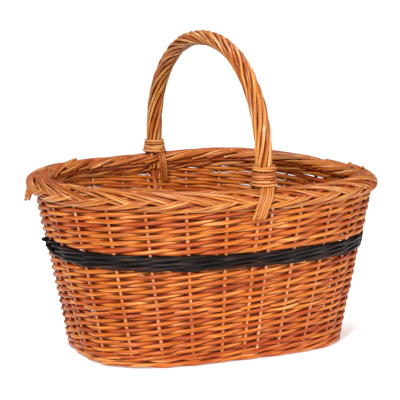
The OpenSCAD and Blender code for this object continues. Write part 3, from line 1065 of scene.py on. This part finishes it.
for side, name, node in ((-1, "collarNear", "collar_near"), (1, "collarFar", "collar_far")):
    mesh = drawnRods(
        name, collarLines(side, node), ropingWillow, Spacing=0.0025, Seed=4 + side,
        Centre=(0.0, side * handle["legY"], 0.0)
    )
    keep(joined(name, [mesh]), "binding", node)


tails = {"thickness": 0.0034, "spacing": 0.0034, "outer": 5, "inner": 3}


def tailLines(which, side):
    low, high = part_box(which + "_tails_far")
    half = tails["thickness"] / 2
    ridge = borderHigh.z
    outerFace, innerFace = high.y - half, low.y + half
    lines = []
    for i in range(tails[which]):
        x = (i - (tails[which] - 1) / 2) * tails["spacing"]
        if which == "outer":
            path = [
                (x, low.y + half, ridge + 0.0022), (x + 0.002, outerFace - 0.0035, ridge - 0.001),
                (x + 0.005, outerFace, ridge - 0.009), (x + 0.009, outerFace, ridge - 0.018),
                (x + 0.011, outerFace - 0.0025, ridge - 0.027),
                (x + 0.012, outerFace - 0.006, ridge - 0.033)
            ]
        else:
            path = [
                (x + 0.004, high.y - half, ridge + 0.0022),
                (x + 0.0045, innerFace + 0.003, ridge - 0.001),
                (x + 0.005, innerFace, ridge - 0.009), (x + 0.006, innerFace, ridge - 0.018),
                (x + 0.0072, innerFace + 0.0025, ridge - 0.027),
                (x + 0.0085, innerFace + 0.0055, ridge - 0.034)
            ]
        lines.append((smoothPath([(px * side, py * side, pz) for px, py, pz in path]), tails["thickness"]))
    return lines


for which in ("outer", "inner"):
    for side, end in ((-1, "near"), (1, "far")):
        name = which + "Tails" + end.title()
        mesh = drawnRods(
            name, tailLines(which, side), paleWillow, Spacing=0.003, Seed=6 + side,
            Centre=(0.0, side * handle["legY"], borderMiddle), Upright=1.0
        )
        keep(joined(name, [mesh]), "binding", f"{which}_tails_{end}")


base = {
    "shortSticks": 7, "shortThickness": 0.006, "spacing": 0.038,
    "longSticks": 3, "longThickness": 0.005,
    "rings": 27, "weaver": 0.005, "swing": 0.0034, "edge": 0.0105,
    "firstGap": 0.004, "firstHalfWidth": 0.009, "weaverSteps": 240,
}
stickHeight = (baseLow.z + baseHigh.z) / 2
baseHalfX = max(baseHigh.x, wall["footHalfLength"] - base["edge"])
baseHalfY = max(baseHigh.y, wall["footHalfWidth"] - base["edge"])


def shortStickLines():
    lines = []
    power = wall["footSquareness"]
    for i in range(base["shortSticks"]):
        x = (i - (base["shortSticks"] - 1) / 2) * base["spacing"]
        reach = baseHalfY * (1 - (abs(x) / baseHalfX) ** power) ** (1 / power)
        ends = [(x, -reach, stickHeight), (x, reach, stickHeight)]
        lines.append((ends, base["shortThickness"]))
    return lines


def longStickLines():
    lines = []
    for i in range(base["longSticks"]):
        y = (i - (base["longSticks"] - 1) / 2) * base["longThickness"]
        ends = [(-baseHalfX, y, stickHeight), (baseHalfX, y, stickHeight)]
        lines.append((ends, base["longThickness"]))
    return lines


def baseWeaverLines():
    startX = (base["shortSticks"] - 1) / 2 * base["spacing"] + base["firstGap"]
    startY = base["firstHalfWidth"]
    lines = []
    for ring in range(base["rings"]):
        share = ring / (base["rings"] - 1)
        halfX = startX + (baseHalfX - startX) * share
        halfY = startY + (baseHalfY - startY) * share
        path = []
        for i in range(base["weaverSteps"] + 1):
            angle = math.tau * i / base["weaverSteps"]
            x, y = ovalPoint(halfX, halfY, wall["footSquareness"], angle)
            phase = math.pi * x / base["spacing"] + math.pi * ring
            path.append((x, y, stickHeight + base["swing"] * math.cos(phase)))
        lines.append((path, base["weaver"]))
    return lines


keep(joined("baseSticksShort", [drawnRods(
    "baseSticksShort", shortStickLines(), insideWillow, Spacing=0.01, Seed=3, Upright=1.0
)]), "stakes", "base_sticks_short")
keep(joined("baseSticksLong", [drawnRods(
    "baseSticksLong", longStickLines(), insideWillow, Spacing=0.01, Seed=4, Upright=1.0
)]), "stakes", "base_sticks_long")
keep(joined("baseWeave", [drawnRods(
    "baseWeave", baseWeaverLines(), buffWillow, Spacing=0.007, Seed=5, Upright=1.0
)]), "siding", "base_weave")
print("base woven")

for guide in guides:
    bpy.data.objects.remove(guide)


studio = {
    "world": 0.29,
    "paper": 1.05,                  # the plain white backdrop itself
    "aim": (0, 0, 0.15),
    "floorGlow": 0.35,
    "floorRadius": 0.85,
    "key": {"from": (-1.8, -2.3, 2.0), "size": 0.55, "power": 112},
    "fill": {"from": (2.0, -2.0, 1.0), "size": 1.4, "power": 34},
    "back": {"from": (0.2, 1.2, 2.8), "size": 1.2, "power": 38},
}


def makeFloor():
    mesh = bpy.data.meshes.new("floor")
    sides = 96
    edge = [math.tau * i / sides for i in range(sides)]
    reach = studio["floorRadius"]
    mesh.from_pydata(
        [(reach * math.cos(angle), reach * math.sin(angle), 0) for angle in edge], [], [list(range(sides))]
    )
    floor = bpy.data.objects.new("floor", mesh)
    bpy.context.scene.collection.objects.link(floor)
    material, shader = finishNodes("palePaper")
    shader.inputs["Base Color"].default_value = (0.93, 0.93, 0.93, 1)
    shader.inputs["Roughness"].default_value = 0.9
    shader.inputs["Emission Color"].default_value = (1, 1, 1, 1)
    shader.inputs["Emission Strength"].default_value = studio["floorGlow"]
    mesh.materials.append(material)


def softLight(name):
    look = studio[name]
    data = bpy.data.lights.new(name, "AREA")
    data.shape = "DISK"
    data.size = look["size"]
    data.energy = look["power"]
    lamp = bpy.data.objects.new(name, data)
    lamp.location = look["from"]
    aim = Vector(studio["aim"]) - Vector(look["from"])
    lamp.rotation_euler = aim.to_track_quat("-Z", "Y").to_euler()
    bpy.context.scene.collection.objects.link(lamp)


def makeWorld():                 # soft light all round, and a white backdrop where nothing stands
    world = bpy.data.worlds.new("studio")
    world.use_nodes = True
    tree = world.node_tree
    tree.nodes.clear()
    shades = []
    for strength in (studio["world"], studio["paper"]):
        shade = tree.nodes.new("ShaderNodeBackground")
        shade.inputs["Color"].default_value = (1, 1, 1, 1)
        shade.inputs["Strength"].default_value = strength
        shades.append(shade.outputs[0])
    seen = tree.nodes.new("ShaderNodeLightPath")
    either = tree.nodes.new("ShaderNodeMixShader")
    output = tree.nodes.new("ShaderNodeOutputWorld")
    tree.links.new(seen.outputs["Is Camera Ray"], either.inputs[0])
    tree.links.new(shades[0], either.inputs[1])
    tree.links.new(shades[1], either.inputs[2])
    tree.links.new(either.outputs[0], output.inputs["Surface"])
    bpy.context.scene.world = world


makeFloor()
makeWorld()
for name in ("key", "fill", "back"):
    softLight(name)
bpy.context.scene.view_settings.view_transform = "Standard"

camera = {
    "azimuth": -24.0, "elevation": 9.6, "distance": 1.94, "target": (0, 0, 0.17),
    "lens": 137.9, "sensor": 36, "shift": (-0.0115, 0.0245),
}


def placeCamera():
    azimuth, elevation = math.radians(camera["azimuth"]), math.radians(camera["elevation"])
    back = Vector((
        math.sin(azimuth) * math.cos(elevation), -math.cos(azimuth) * math.cos(elevation),
        math.sin(elevation)
    ))
    lens = bpy.data.cameras.new("view")
    lens.lens = camera["lens"]
    lens.sensor_width = camera["sensor"]
    lens.shift_x, lens.shift_y = camera["shift"]
    view = bpy.data.objects.new("view", lens)
    view.location = Vector(camera["target"]) + back * camera["distance"]
    view.rotation_euler = (-back).to_track_quat("-Z", "Y").to_euler()
    bpy.context.scene.collection.objects.link(view)
    bpy.context.scene.camera = view


placeCamera()
print("stage set")
